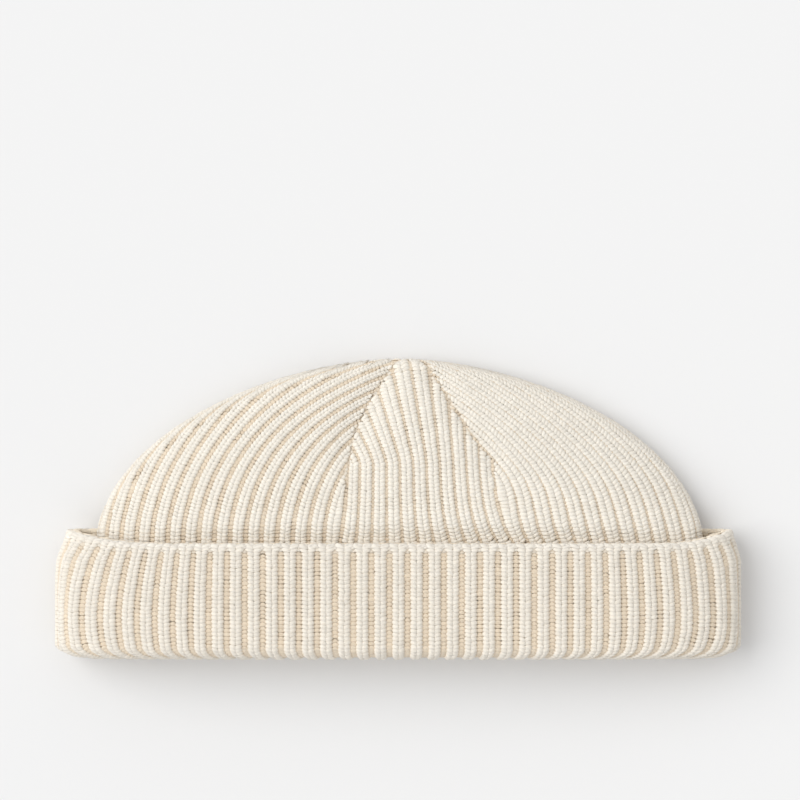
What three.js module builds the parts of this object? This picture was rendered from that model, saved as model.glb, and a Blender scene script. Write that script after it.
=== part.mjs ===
// Fisherman beanie: a short ribbed knit hat with a turned-up cuff, lying flat on its back.
// Millimetres. +Y runs from the hem to the tip, +Z is the front of the hat, X runs across it.
// The origin is the middle of the footprint, on the surface that the hat rests on.
import * as THREE from 'three';

// Sizes of the whole hat, laid flat
const crownWidth = 231; // across the crown where it leaves the cuff
const crownHeight = 69.9; // from the cuff's free edge to the tip
const cuffHeight = 44.2; // from the hem to the cuff's free edge
const earGap = 9.6; // room between the crown's side and the cuff at its top corners
const earRise = 4; // how far the cuff's edge stands higher at those corners
const earLength = 16; // length of that rise along the edge

// Sizes of the fabric
const wall = 4.4; // thickness of the rib knit
const ribDepth = 1.2; // depth of the furrow between two ribs
const ribsRound = 80; // ribs round the hat
const foldRadius = 1.3; // inside radius where the hollow ends at a fold
const layGap = 0.6; // slit between the crown and the cuff laid over it
const joinGap = 0.3; // between the crown's lower edge and the cuff's inner leg
const edgeRound = 1.5; // rounding of the cuff's free edge
const legLength = 5.3; // the cuff's inner leg, above the round of its hem

// The hollow that the head goes in
const cuffHollow = 10; // its height at the middle, inside the cuff
const crownHollow = 15.5; // its height at the middle, in the crown
const domeLength = 26; // how far from a fold the front takes to rise
const sagLength = 13; // how far past the cuff the crown's back takes to reach the surface

// The darts that close the crown, each in the furrow of a rib counted from the middle. The rest
// are shares, across of half the crown's width and up of its height: where the dart starts, how far
// its furrow drifts below that, and how far the dart runs above it, with the power of its bend.
const darts = [
  { rib: -4, foot: 0.53, drift: 0.033, run: 0.151, bend: 1.4 },
  { rib: 7, foot: 0.46, drift: -0.056, run: -0.222, bend: 0.84 },
];
const dartDepth = 2.4; // depth of the crease along a dart
const dartPinch = 1.5; // how far the fabric beside a dart is drawn in
const pinchWidth = 6; // reach of that pinch to each side
const pinchFade = { foot: 0.2, tip: 0.1 }; // shares of the height over which it comes and goes
const crownRibPhase = 0.22; // shift of the crown's furrows from the middle, in ribs
const cuffRibPhase = 0.45; // the same for the cuff

// How the ribs lean over the crown, in the same shares: towards the tip in the two side gores, and
// from the right dart's foot to the left dart's edge in the middle one
const leftLean = { amount: 0.371, gather: 2.4, gatherFrom: 0.35 };
const rightLean = 0.557;
const middleLean = { left: -0.023, right: 0.069, reach: 0.164, gather: 0.454, gatherFrom: 0.435 };
const joinShare = 0.3; // a rib nearer than this share of a rib to a dart or fold runs into it

// The crown's outline is a superellipse
const roundAcross = 1.75;
const roundUp = 1.9;

// Heights of the rows of points: in the body, shares of the way up the cuff, and in the crown,
// shares of its height
const flareShare = 0.62; // how far up the cuff the body starts to narrow
const bodyShares = [flareShare, 0.82, 1];
const crownShares = [0.09, 0.2, 0.32, 0.45, 0.56, 0.67, 0.77, 0.86, 0.93, 0.975, 1];
const liningShares = [0.12, 0.32, 0.52, 0.7, 0.84, 0.94, 1];
const hemSteps = 4; // facets round the hem

const ribsAcross = ribsRound / 2;
const doubled = 2 * wall + layGap;
const hemRadius = doubled / 2;
const innerLeg = hemRadius + legLength;
const cuffEdge = doubled + foldRadius; // half the thickness of the folded cuff at its ends
const hollowHalf = crownWidth / 2 - wall;
const cuffHollowHalf = hollowHalf + earGap;
const middle = (cuffHeight + crownHeight) / 2;
const foldTurn = Math.PI / 2 - 1; // a fold's quarter round is longer by this than its radius

const clamp = THREE.MathUtils.clamp;
const lerp = THREE.MathUtils.lerp;

function smooth(share) {
  const t = clamp(share, 0, 1);
  return t * t * (3 - 2 * t);
}

// A height's share of a crown layer that lies `out` from the hollow
function crownShare(out, up) {
  return clamp((up - cuffHeight) / (crownHeight - wall + out), 0, 1);
}

// Half the width of such a layer
function halfWidth(out, up) {
  const flare = smooth((cuffHeight - up) / (cuffHeight * (1 - flareShare)));
  const side = lerp(hollowHalf, cuffHollowHalf, flare) + out;
  return side * (1 - crownShare(out, up) ** roundUp) ** (1 / roundAcross);
}

// How deep a point lies inside an outline, and the way straight out from there. The outline is
// side wide to each side at its foot and height tall, and v is the point's share of that height.
function inset(x, v, side, height) {
  const across = Math.min(Math.abs(x) / side, 1);
  const gx = (roundAcross * across ** (roundAcross - 1)) / side;
  const gy = (roundUp * v ** (roundUp - 1)) / height;
  const steep = Math.max(Math.hypot(gx, gy), Number.EPSILON);
  const depth = Math.max((1 - across ** roundAcross - v ** roundUp) / steep, 0);
  return { depth, x: (Math.sign(x) * gx) / steep, y: gy / steep };
}

// Where the nose of a fold is centred: the crown lies on the cuff's back layer, then sags
function noseHeight(up) {
  const onCuff = 1 - smooth((up - cuffHeight - earRise) / sagLength);
  return (wall + layGap) * onCuff + wall + foldRadius;
}

// How far the front rises above the height that it has at a fold
function rise(depth, up) {
  const hollow = lerp(cuffHollow, crownHollow, smooth((up - cuffHeight) / sagLength));
  return (hollow - 2 * foldRadius) * (1 - Math.exp(-Math.max(depth, 0) / domeLength));
}

// The lines of points across one side of the hat: its two folds, and each rib's furrow and crest.
// u runs from -1 at the left fold to 1 at the right one, and furrow from 0 on a crest to 1.
function ribLines(phase) {
  const atFold = 1 - 2 * Math.abs(phase);
  const lines = [{ u: -1, furrow: atFold, fold: -1 }];
  for (let half = 0; half <= ribsRound; half += 1) {
    const u = (half + 2 * phase) / ribsAcross - 1;
    if (Math.abs(u) < 1) {
      lines.push({ u, furrow: half % 2 === 0 ? 1 : 0, fold: 0 });
    }
  }
  lines.push({ u: 1, furrow: atFold, fold: 1 });
  return lines;
}

// A dart's starting furrow, on the same scale as the lines
function dartStart(dart, phase) {
  return (2 * (Math.round(ribsAcross / 2 + dart.rib) + phase)) / ribsAcross - 1;
}

// How far a rib has moved sideways at a height
function ribDrift(u, v, starts) {
  const [left, right] = starts;
  if (u <= left) {
    const inner = Math.max((u + 1) / (left + 1) - leftLean.gatherFrom, 0);
    return leftLean.amount * v ** 2 * (1 + leftLean.gather * inner * v ** 3);
  }
  if (u >= right) {
    return -rightLean * v ** 2;
  }
  const c = (u - left) / (right - left);
  const sway = lerp(middleLean.left, middleLean.right, c);
  const pull = middleLean.gather * (1 - c) ** 2 * Math.max(v - middleLean.gatherFrom, 0);
  return -sway * (1 - Math.exp(-v / middleLean.reach)) - pull;
}

// The measures of one row of a crown layer. side is 1 on the front and -1 on the back.
function measureRow(out, up, side) {
  const phase = side * crownRibPhase;
  const v = crownShare(out, up);
  const width = halfWidth(out, up);
  const foot = hollowHalf + out;
  const step = 0.01;
  const slope = v > 0 ? (halfWidth(out, up - step) - width) / step : 0;
  const round = Math.min((foldRadius + out) * Math.hypot(1, slope), width);
  const arc = width + foldTurn * round;
  const starts = darts.map((dart) => dartStart(dart, phase));
  const creases = darts.map((dart, i) => {
    const above = Math.max(v - dart.foot, 0) / (1 - dart.foot);
    const shift = dart.drift * smooth(v / dart.foot) + dart.run * above ** dart.bend;
    return clamp((starts[i] + shift) * foot, -arc, arc);
  });
  const footArc = foot + foldTurn * (foldRadius + out);
  return { out, up, side, phase, v, width, foot, round, arc, footArc, starts, creases };
}

// How far along a row a rib line lies, from the middle. It ends on the dart or fold that it meets.
function alongRow(line, row) {
  if (line.fold !== 0) {
    return line.fold * row.arc;
  }
  if (row.v === 0) {
    return line.u * row.arc;
  }
  const tiny = 1 / (4 * ribsRound);
  const onDart = row.starts.findIndex((start) => Math.abs(line.u - start) < tiny);
  if (onDart >= 0) {
    return row.creases[onDart];
  }
  const gore = row.starts.filter((start) => line.u > start).length;
  const [low, high] = [-row.arc, ...row.creases, row.arc].slice(gore, gore + 2);
  const along = line.u * row.footArc + ribDrift(line.u, row.v, row.starts) * row.foot;
  const near = (joinShare * row.footArc) / ribsAcross;
  if (along < low + near) {
    return low;
  }
  return along > high - near ? high : along;
}

// The depth of the furrow at a place along a row
function furrowDepth(line, along, row, face) {
  if (row.v > 0 && Math.abs(along) === row.arc) {
    return face > 0 ? ribDepth / 2 : 0;
  }
  const crease = row.v > 0 ? row.creases.indexOf(along) : -1;
  if (crease >= 0) {
    const started = smooth(1 + (row.v - darts[crease].foot) / pinchFade.tip);
    return face > 0 ? lerp(ribDepth, dartDepth, started) : 0;
  }
  return ribDepth * (face > 0 ? line.furrow : 1 - line.furrow);
}

// How far the front is drawn in beside the darts
function pinchAt(along, row) {
  const aside = row.arc > 0 ? along / row.arc : 1;
  const pinches = darts.map((dart, i) => {
    const near = Math.exp(-(((along - row.creases[i]) / pinchWidth) ** 2));
    const fromFoot = 1 + (row.v - dart.foot) / pinchFade.foot;
    const toTip = (1 - row.v) / pinchFade.tip;
    return dartPinch * near * smooth(Math.min(fromFoot, toTip));
  });
  return Math.max(...pinches) * (1 - aside ** 8);
}

// The place across the hat of a point that lies so far along a row, on its flat or round its fold
function across(along, width, round) {
  const past = Math.abs(along) - (width - round);
  return past > 0 ? Math.sign(along) * (width - round + round * Math.sin(past / round)) : along;
}

// A point on a layer's smooth surface, moved into the fabric by its furrow and down by its pinch
function settle(x, layer, carve, lowered) {
  const round = foldRadius + layer.out;
  const spot = inset(x, layer.v, layer.foot, layer.height);
  const reach = 1 - Math.min(spot.depth / round, 1);
  const lift = Math.sqrt(1 - reach ** 2);
  const top = layer.side > 0 ? rise(spot.depth - layer.out, layer.up) : 0;
  return new THREE.Vector3(
    x - spot.x * reach * carve,
    layer.up - middle - spot.y * reach * carve,
    layer.nose + layer.side * (lift * (round - carve) - lowered) + top,
  );
}

// One ring of a crown layer, from the left fold over the front and back again. face is 1 for the
// fabric's outside and -1 for its inside. The outside is pressed smooth where the hat rests.
function crownRing(out, face, up) {
  const sides = [1, -1].map((side) => {
    const row = measureRow(out, up, side);
    const foot = row.v > 0 ? row.foot : row.width;
    const layer = { ...row, foot, height: crownHeight - wall + out, nose: noseHeight(up) };
    return ribLines(row.phase).map((line) => {
      const along = alongRow(line, row);
      const onFlat = Math.abs(along) <= row.width - row.round;
      const carve = side < 0 && face > 0 && onFlat ? 0 : face * furrowDepth(line, along, row, face);
      const lowered = side > 0 ? pinchAt(along, row) : 0;
      return settle(across(along, row.width, row.round), layer, carve, lowered);
    });
  });
  return [...sides[0], ...sides[1].reverse()];
}

// One ring of the cuff. up is its height from the hem between the corners, where it rises.
function cuffRing(out, face, up) {
  const width = cuffHollowHalf + out;
  const round = foldRadius + out;
  const arc = width + foldTurn * round;
  const sides = [1, -1].map((side) => {
    const layer = { out, up, side, v: 0, foot: width, height: crownHeight, nose: cuffEdge };
    return ribLines(side * cuffRibPhase).map((line) => {
      const x = across(line.u * arc, width, round);
      const onFlat = Math.abs(x) <= width - round;
      const furrow = face > 0 ? line.furrow : 1 - line.furrow;
      const pressed = side < 0 && onFlat && out === doubled;
      const point = settle(x, layer, pressed ? 0 : face * ribDepth * furrow, 0);
      const corner = smooth((Math.abs(x) - width + earLength) / earLength);
      point.y += earRise * corner * smooth((up - innerLeg) / (cuffHeight - innerLeg));
      return point;
    });
  });
  return [...sides[0], ...sides[1].reverse()];
}

// Joins rings of points into one closed skin. Rings that loop close on the first one, and others
// end in a point. Points that meet are merged, and the faces that shrink to nothing are dropped.
function skin(rings, loops) {
  const places = new Map();
  const corners = [];
  const numbers = rings.map((ring) => ring.map((point) => {
    const key = point.toArray().map((value) => Math.round(value * 1e4)).join();
    if (!places.has(key)) {
      places.set(key, places.size);
      corners.push(point.x, point.y, point.z);
    }
    return places.get(key);
  }));
  const faces = [];
  const add = (a, b, c) => {
    if (a !== b && b !== c && c !== a) {
      faces.push(a, b, c);
    }
  };
  const last = loops ? rings.length : rings.length - 1;
  for (let i = 0; i < last; i += 1) {
    const here = numbers[i];
    const next = numbers[(i + 1) % rings.length];
    for (let j = 0; j < here.length; j += 1) {
      const k = (j + 1) % here.length;
      add(here[j], here[k], next[k]);
      add(here[j], next[k], next[j]);
    }
  }
  const geometry = new THREE.BufferGeometry();
  geometry.setAttribute('position', new THREE.Float32BufferAttribute(corners, 3));
  geometry.setIndex(faces);
  geometry.computeVertexNormals();
  return geometry;
}

// The crown: its inside from the tip down to the lower edge, then its outside back up
function crownShape() {
  const lower = innerLeg + joinGap;
  const body = [lower, ...bodyShares.map((share) => share * cuffHeight)];
  const lining = liningShares.map((share) => cuffHeight + share * (crownHeight - wall));
  const outside = crownShares.map((share) => cuffHeight + share * crownHeight);
  const rings = [...body, ...lining].reverse().map((up) => crownRing(0, -1, up));
  rings.push(...[...body, ...outside].map((up) => crownRing(wall, 1, up)));
  return skin(rings, false);
}

// The cuff: round the hem, up its outside, over the free edge, down the slit and up its inner leg
function cuffShape() {
  const rings = [];
  for (let i = 0; i <= hemSteps; i += 1) {
    const turn = (Math.PI * i) / hemSteps;
    const face = i < hemSteps / 2 ? -1 : 1;
    rings.push(cuffRing(hemRadius * (1 - Math.cos(turn)), face, hemRadius * (1 - Math.sin(turn))));
  }
  const round = Math.min(edgeRound, (wall - ribDepth) / 2 - 0.1);
  const slit = wall + layGap;
  rings.push(cuffRing(doubled, 1, cuffHeight / 2));
  rings.push(cuffRing(doubled, 1, cuffHeight - round));
  rings.push(cuffRing(doubled - round, 1, cuffHeight));
  rings.push(cuffRing(slit + round, -1, cuffHeight));
  rings.push(cuffRing(slit, -1, cuffHeight - round));
  rings.push(cuffRing(slit, -1, hemRadius));
  rings.push(cuffRing(wall, 1, hemRadius));
  rings.push(cuffRing(wall, 1, innerLeg));
  rings.push(cuffRing(0, -1, innerLeg));
  return skin(rings, true);
}

const knit = { roughness: 0.95, metalness: 0 };

const crown = new THREE.Mesh(
  crownShape(),
  new THREE.MeshStandardMaterial({ color: 0xe8dfcf, ...knit }),
);
crown.name = 'crown';

const cuff = new THREE.Mesh(
  cuffShape(),
  new THREE.MeshStandardMaterial({ color: 0xe3d8c6, ...knit }),
);
cuff.name = 'cuff';

const beanie = new THREE.Group();
beanie.name = 'fisherman_beanie';
beanie.add(crown, cuff);

export default beanie;
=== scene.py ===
import math
from types import SimpleNamespace

import bmesh
import bpy
import numpy as np
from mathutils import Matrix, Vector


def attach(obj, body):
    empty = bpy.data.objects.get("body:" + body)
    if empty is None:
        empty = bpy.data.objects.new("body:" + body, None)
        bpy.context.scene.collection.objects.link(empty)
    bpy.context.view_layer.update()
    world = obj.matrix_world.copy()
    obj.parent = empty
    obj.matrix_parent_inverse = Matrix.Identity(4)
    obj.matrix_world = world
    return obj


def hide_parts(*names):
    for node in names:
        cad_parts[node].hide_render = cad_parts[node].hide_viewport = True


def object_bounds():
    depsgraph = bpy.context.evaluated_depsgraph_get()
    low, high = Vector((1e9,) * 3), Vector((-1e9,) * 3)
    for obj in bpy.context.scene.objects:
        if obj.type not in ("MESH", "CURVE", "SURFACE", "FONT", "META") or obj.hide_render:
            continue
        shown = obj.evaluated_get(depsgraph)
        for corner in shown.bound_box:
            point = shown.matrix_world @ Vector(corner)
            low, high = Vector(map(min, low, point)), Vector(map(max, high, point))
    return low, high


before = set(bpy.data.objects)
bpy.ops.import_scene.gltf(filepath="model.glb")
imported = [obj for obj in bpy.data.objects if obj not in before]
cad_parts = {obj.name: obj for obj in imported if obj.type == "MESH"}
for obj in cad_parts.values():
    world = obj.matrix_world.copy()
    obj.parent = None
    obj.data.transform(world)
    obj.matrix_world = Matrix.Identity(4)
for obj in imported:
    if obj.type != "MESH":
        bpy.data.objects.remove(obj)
cad_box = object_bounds()

MM = 0.001
TINY = 1e-9  # keeps a divisor above 0
CLOSE = 1e-6  # numbers that lie nearer to each other count as equal
hat_low, hat_high = (np.array(corner) / MM for corner in cad_box)

# Sizes of the hat: the model's bounds give its length and its width
CUFF_HEIGHT = 44.2  # from the hem to the cuff's free edge
CROWN_HEIGHT = hat_high[1] - hat_low[1] - CUFF_HEIGHT
EAR_GAP = 9.6  # room between the crown's side and the cuff at its top corners
EAR_RISE = 4.0  # how far the cuff's edge stands higher at those corners
EAR_LENGTH = 16.0  # how far they reach in from the fold
MIDDLE = -hat_low[1]  # from the hem to the model's origin

# Sizes of the fabric
WALL = 4.4
FOLD_RADIUS = 1.3  # inside radius where the hollow ends at a fold
LAY_GAP = 0.6  # slit between the crown and the cuff laid over it
LEG_LENGTH = 5.3  # the cuff's inner leg, above the round of its hem
RIBS_ACROSS = 40  # ribs on the front, and as many on the back
ROW = 1.52  # height of a row of stitches

# The hollow that the head goes in
CUFF_HOLLOW = 10.0
CROWN_HOLLOW = 15.5
DOME_LENGTH = 26.0
SAG_LENGTH = 13.0

# The darts that close the crown and the lean of the ribs between them, in shares of half the
# crown's width and of its height
DARTS = (
    dict(name="left", rib=-4, foot=0.53, drift=0.033, run=0.151, bend=1.4),
    dict(name="right", rib=7, foot=0.46, drift=-0.056, run=-0.222, bend=0.84),
)
DART_PINCH = 1.5
PINCH_WIDTH = 6.0
PINCH_FADE = dict(foot=0.2, tip=0.1)
PINCH_AT_FOLD = 8  # power with which it fades towards the folds
CREASE_FROM = 0.6  # share of a dart's foot at which its furrow starts to turn into its crease
CROWN_PHASE = 0.22  # shift of the ribs from the middle, in ribs
CUFF_PHASE = 0.45
LEFT_LEAN = dict(amount=0.371, gather=2.4, start=0.35)
RIGHT_LEAN = 0.557
MIDDLE_LEAN = dict(left=-0.023, right=0.069, reach=0.164, gather=0.49, start=0.42, ease=0.05)
FOOT_LEAN = dict(across=0.4, up=0.5)  # how far the right ribs share the lean of the middle ones

# The crown's outline is a superellipse
ROUND_ACROSS = 1.75
ROUND_UP = 1.9
FLARE_SHARE = 0.62

DOUBLED = 2 * WALL + LAY_GAP
HEM_RADIUS = DOUBLED / 2
INNER_LEG = HEM_RADIUS + LEG_LENGTH
CUFF_EDGE = DOUBLED + FOLD_RADIUS
CUFF_HOLLOW_HALF = hat_high[0] - DOUBLED
HOLLOW_HALF = CUFF_HOLLOW_HALF - EAR_GAP
FOLD_TURN = math.pi / 2 - 1

rng = np.random.default_rng(7)


def smooth(share):
    t = np.clip(share, 0, 1)
    return t * t * (3 - 2 * t)


def ramp(value, start, length):
    return smooth((value - start) / length)


def lerp(a, b, t):
    return a + (b - a) * t


# The shape of the crown


def crown_share(out, up):
    """A height's share of a crown layer."""
    return np.clip((up - CUFF_HEIGHT) / (CROWN_HEIGHT - WALL + out), 0, 1)


def half_width(out, up):
    flare = smooth((CUFF_HEIGHT - up) / (CUFF_HEIGHT * (1 - FLARE_SHARE)))
    side = lerp(HOLLOW_HALF, CUFF_HOLLOW_HALF, flare) + out
    return side * (1 - crown_share(out, up) ** ROUND_UP) ** (1 / ROUND_ACROSS)


def inset(x, v, side, height):
    """How deep a point lies inside the outline."""
    across = np.minimum(np.abs(x) / side, 1)
    gx = ROUND_ACROSS * across ** (ROUND_ACROSS - 1) / side
    gy = ROUND_UP * v ** (ROUND_UP - 1) / height
    steep = np.maximum(np.hypot(gx, gy), TINY)
    return np.maximum((1 - across**ROUND_ACROSS - v**ROUND_UP) / steep, 0)


def nose_height(up):
    """Where the middle of a fold lies: on the cuff's back layer at first, then sagging."""
    on_cuff = 1 - smooth((up - CUFF_HEIGHT - EAR_RISE) / SAG_LENGTH)
    return (WALL + LAY_GAP) * on_cuff + WALL + FOLD_RADIUS


def rise(depth, up):
    hollow = lerp(CUFF_HOLLOW, CROWN_HOLLOW, smooth((up - CUFF_HEIGHT) / SAG_LENGTH))
    return (hollow - 2 * FOLD_RADIUS) * (1 - np.exp(-np.maximum(depth, 0) / DOME_LENGTH))


def crown_row(out, up, side):
    """The measures of rows of a crown layer at the heights up."""
    up = np.asarray(up, float)
    v = crown_share(out, up)
    width = half_width(out, up)
    foot = HOLLOW_HALF + out
    step = 0.01
    slope = np.where(v > 0, (half_width(out, up - step) - width) / step, 0)
    radius = np.minimum((FOLD_RADIUS + out) * np.hypot(1, slope), width)
    arc = width + FOLD_TURN * radius
    foot_arc = foot + FOLD_TURN * (FOLD_RADIUS + out)
    phase = side * CROWN_PHASE
    starts = []
    creases = []
    for dart in DARTS:
        start = 2 * (round(RIBS_ACROSS / 2 + dart["rib"]) + phase) / RIBS_ACROSS - 1
        above = np.maximum(v - dart["foot"], 0) / (1 - dart["foot"])
        shift = dart["drift"] * smooth(v / dart["foot"]) + dart["run"] * above ** dart["bend"]
        sway = MIDDLE_LEAN[dart["name"]] * (1 - np.exp(-v / MIDDLE_LEAN["reach"]))
        furrow = np.where(v > 0, start * foot_arc - sway * foot, start * arc)
        turned = ramp(v / dart["foot"], CREASE_FROM, 1 - CREASE_FROM)
        crease = lerp(furrow, (start + shift) * foot, turned)
        starts.append(start)
        creases.append(np.clip(crease, -arc, arc))
    return SimpleNamespace(
        out=out, up=up, side=side, v=v, width=width, foot=foot, radius=radius, arc=arc,
        foot_arc=foot_arc, starts=starts, creases=creases,
    )


def rib_drift(u, v, starts):
    """How far a rib has moved sideways at a height."""
    left, right = starts
    inner = np.maximum((u + 1) / (left + 1) - LEFT_LEAN["start"], 0)
    on_left = LEFT_LEAN["amount"] * v**2 * (1 + LEFT_LEAN["gather"] * inner * v**3)
    begun = 1 - np.exp(-v / MIDDLE_LEAN["reach"])
    at_foot = np.exp(-np.maximum(u - right, 0) / FOOT_LEAN["across"])
    at_foot = at_foot * (1 - smooth(v / FOOT_LEAN["up"]))
    on_right = lerp(-RIGHT_LEAN * v**2, -MIDDLE_LEAN["right"] * begun, at_foot)
    c = np.clip((u - left) / (right - left), 0, 1)
    sway = lerp(MIDDLE_LEAN["left"], MIDDLE_LEAN["right"], c)
    past = np.maximum(v - MIDDLE_LEAN["start"], 0)
    pull = MIDDLE_LEAN["gather"] * (1 - c) ** 2 * past**2 / (past + MIDDLE_LEAN["ease"])
    between = -sway * begun - pull
    return np.where(u <= left, on_left, np.where(u >= right, on_right, between))


def along_row(u, row):
    """How far along a row a rib's line would lie, if no dart or fold stopped it."""
    drift = rib_drift(u, row.v, row.starts)
    return np.where(row.v > 0, u * row.foot_arc + drift * row.foot, u * row.arc)


def gore_limits(row, gore):
    """The two darts or folds between which the ribs of a gore lie."""
    limits = [-row.arc, *row.creases, row.arc]
    return limits[gore], limits[gore + 1]


def fold_across(along, width, radius):
    """The place across the hat of a point so far along a row, on its flat or round its fold."""
    past = np.abs(along) - (width - radius)
    turn = radius * np.sin(np.clip(past / np.maximum(radius, TINY), 0, math.pi / 2))
    return np.where(past > 0, np.sign(along) * (width - radius + turn), along)


def pinch(along, row):
    """How far the front is drawn in beside the darts."""
    aside = along / np.maximum(row.arc, TINY)
    drawn = []
    for dart, crease in zip(DARTS, row.creases):
        near = np.exp(-(((along - crease) / PINCH_WIDTH) ** 2))
        from_foot = 1 + (row.v - dart["foot"]) / PINCH_FADE["foot"]
        to_tip = (1 - row.v) / PINCH_FADE["tip"]
        drawn.append(DART_PINCH * near * smooth(np.minimum(from_foot, to_tip)))
    return np.maximum(*drawn) * (1 - np.clip(np.abs(aside), 0, 1) ** PINCH_AT_FOLD)


def crown_point(along, row):
    """The place of a point of a crown layer."""
    x = fold_across(along, row.width, row.radius)
    foot = np.where(row.v > 0, row.foot, row.width)
    depth = inset(x, row.v, foot, CROWN_HEIGHT - WALL + row.out)
    radius = FOLD_RADIUS + row.out
    lift = np.sqrt(1 - (1 - np.minimum(depth / radius, 1)) ** 2)
    z = nose_height(row.up) + row.side * lift * radius
    if row.side > 0:
        z = z + rise(depth - row.out, row.up) - pinch(along, row)
    return np.stack(np.broadcast_arrays(x, row.up - MIDDLE, z), -1)


# The shape of the cuff

# The ribs near the cuff's ends bow outwards: at top and bottom they are drawn in by these lengths
BOW = {-1: dict(top=6.1, bottom=3.4), 1: dict(top=3.0, bottom=4.6)}
BOW_MIDDLE = 16.7  # height at which they stand furthest out
BOW_BEND = dict(above=1.6, below=2.5)
BOW_MOST = 1.2  # share of the height above its middle to which the bow goes on
BOW_NEAR = 13.0  # how far from the fold the bow is strongest
BOW_REACH = 65.0  # how far past that it fades out on the front
BOW_BACK = 20.0  # and on the back
RIM_RISE = 4.8  # how much the free edge rises to the fold
RIM_LENGTH = (43.0, 32.0)  # over these lengths on the front, left and right
RIM_BEND = 2.3
END_TAPER = 3.0  # how much the cuff's ends lean in at the top
TAPER_FROM = 36.0
TAPER_LENGTH = 13.0
LEFT_BULGE = 1.1  # how much the left end stands out below that
LEFT_BULGE_LENGTH = 20.0
HEM_LIFT = 2.4  # how much the hem rises to the fold
HEM_LIFT_LENGTH = 10.0
HEM_LIFT_HEIGHT = 12.0
EDGE_RADIUS = 1.4  # how round the cuff's free edge is
CUFF_FACE = HEM_RADIUS * math.pi / 2 + CUFF_HEIGHT - HEM_RADIUS - EDGE_RADIUS  # q where it turns
CUFF_TURN = CUFF_FACE + EDGE_RADIUS * math.pi / 2  # q at the middle of the free edge


def bow(from_fold, up, hand):
    """How far a rib is drawn from the fold over the front."""
    near = smooth((from_fold + BOW_BACK) / (BOW_NEAR + BOW_BACK))
    far = smooth(1 - (from_fold - BOW_NEAR) / BOW_REACH)
    above = np.clip((up - BOW_MIDDLE) / (CUFF_HEIGHT - BOW_MIDDLE), 0, BOW_MOST)
    below = np.clip((BOW_MIDDLE - up) / BOW_MIDDLE, 0, 1)
    top = np.where(hand < 0, BOW[-1]["top"], BOW[1]["top"])
    bottom = np.where(hand < 0, BOW[-1]["bottom"], BOW[1]["bottom"])
    return near * far * (top * above ** BOW_BEND["above"] + bottom * below ** BOW_BEND["below"])


def cuff_point(u, out, up, side):
    """The place of a point of the cuff. Past a fold, u runs on over the other side."""
    u, out, up, side = np.broadcast_arrays(u, out, up, side)
    width = CUFF_HOLLOW_HALF + out
    radius = FOLD_RADIUS + out
    arc = width + FOLD_TURN * radius
    hand = np.sign(u)
    from_fold = side * arc * (1 - np.abs(u))
    from_fold = from_fold + bow(from_fold, up, hand)
    side = np.where(from_fold > 0, 1, -1)
    x = fold_across(hand * (arc - np.abs(from_fold)), width, radius)
    depth = inset(x, np.zeros_like(x), width, CROWN_HEIGHT)
    lift = np.sqrt(1 - (1 - np.minimum(depth / radius, 1)) ** 2)
    z = CUFF_EDGE + side * lift * radius + np.where(side > 0, rise(depth - out, up), 0)
    inward = width - np.abs(x)
    front_rim = np.clip(1 - inward / np.where(x < 0, *RIM_LENGTH), 0, 1) ** RIM_BEND
    corner = np.where(side > 0, front_rim, smooth((2 * EAR_LENGTH - inward) / EAR_LENGTH))
    lifted = RIM_RISE * corner * smooth((up - INNER_LEG) / (CUFF_HEIGHT - INNER_LEG))
    drawn = END_TAPER * smooth((up + lifted - TAPER_FROM) / TAPER_LENGTH)
    drawn = drawn - np.where(x < 0, LEFT_BULGE * smooth((CUFF_HEIGHT - up) / LEFT_BULGE_LENGTH), 0)
    x = x - np.sign(x) * drawn * smooth((np.abs(x) - width + 2 * EAR_LENGTH) / (2 * EAR_LENGTH))
    hem = np.clip(1 - inward / HEM_LIFT_LENGTH, 0, 1) * np.clip(1 - up / HEM_LIFT_HEIGHT, 0, 1)
    return np.stack([x, up - MIDDLE + lifted + HEM_LIFT * hem**2, z], -1)


def cuff_path(q):
    """Layer and height along the cuff's face: up the outside for q over 0, inside under it.
    q is 0 at the hem, and past the free edge the path turns over it."""
    q = np.asarray(q, float)
    quarter = HEM_RADIUS * math.pi / 2
    turn = np.clip(q / HEM_RADIUS, -math.pi / 2, math.pi / 2)
    out = HEM_RADIUS * (1 + np.sin(turn))
    up = HEM_RADIUS * (1 - np.cos(turn)) + np.maximum(np.abs(q) - quarter, 0)
    over = np.clip((up - CUFF_HEIGHT + EDGE_RADIUS) / EDGE_RADIUS, 0, math.pi / 2)
    over = np.where(q > 0, over, 0)
    out = out - EDGE_RADIUS * (1 - np.cos(over))
    up = np.where(over > 0, CUFF_HEIGHT - EDGE_RADIUS * (1 - np.sin(over)), up)
    return out, up


# The stitches. A plain one is a pair of legs, and a leg is a short fat spindle of yarn that rises
# from the middle of the rib and dives into the furrow beside it. In the furrow lie the bumps of
# the purl stitches, one across it in each row. Where a furrow is closed its ribs are drawn
# together: the legs reach further over it, and the bumps are smaller and lie nearer the crests.

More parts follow.
